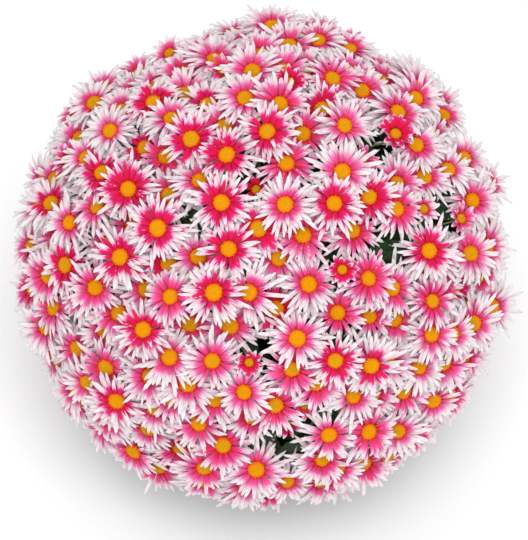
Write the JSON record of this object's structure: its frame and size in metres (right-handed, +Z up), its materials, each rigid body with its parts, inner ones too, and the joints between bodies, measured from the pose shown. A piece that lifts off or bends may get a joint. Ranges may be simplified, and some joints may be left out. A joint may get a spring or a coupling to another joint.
{
  "type": "pot chrysanthemum",
  "caption": "Ball-shaped pot chrysanthemum covered in pink and white daisy blooms with yellow discs, standing in soil in a plain tapered pot.",
  "frame": {"origin": "on the ground under the middle of the pot's foot", "axes": "+Z up; -Y is the side seen in the picture"},
  "size_m": [0.436, 0.4267, 0.4159],
  "materials": {
    "petals": "matte",
    "discs": "matte",
    "foliage": "satin",
    "soil": "matte",
    "pot": "satin"
  },
  "bodies": {
    "root": {"shoot_01": "petals", "shoot_02": "petals", "shoot_03": "petals", "shoot_04": "petals", "shoot_05": "petals", "shoot_06": "petals", "shoot_07": "petals", "shoot_08": "petals", "shoot_09": "petals", "shoot_10": "petals", "shoot_11": "petals", "shoot_12": "petals", "shoot_13": "petals", "shoot_14": "petals", "shoot_15": "petals", "shoot_16": "petals", "shoot_17": "petals", "shoot_18": "petals", "shoot_19": "petals", "shoot_20": "petals", "shoot_21": "petals", "shoot_22": "petals", "shoot_23": "petals", "shoot_24": "petals", "soil": "soil", "pot": "pot"}
  },
  "joints": []
}
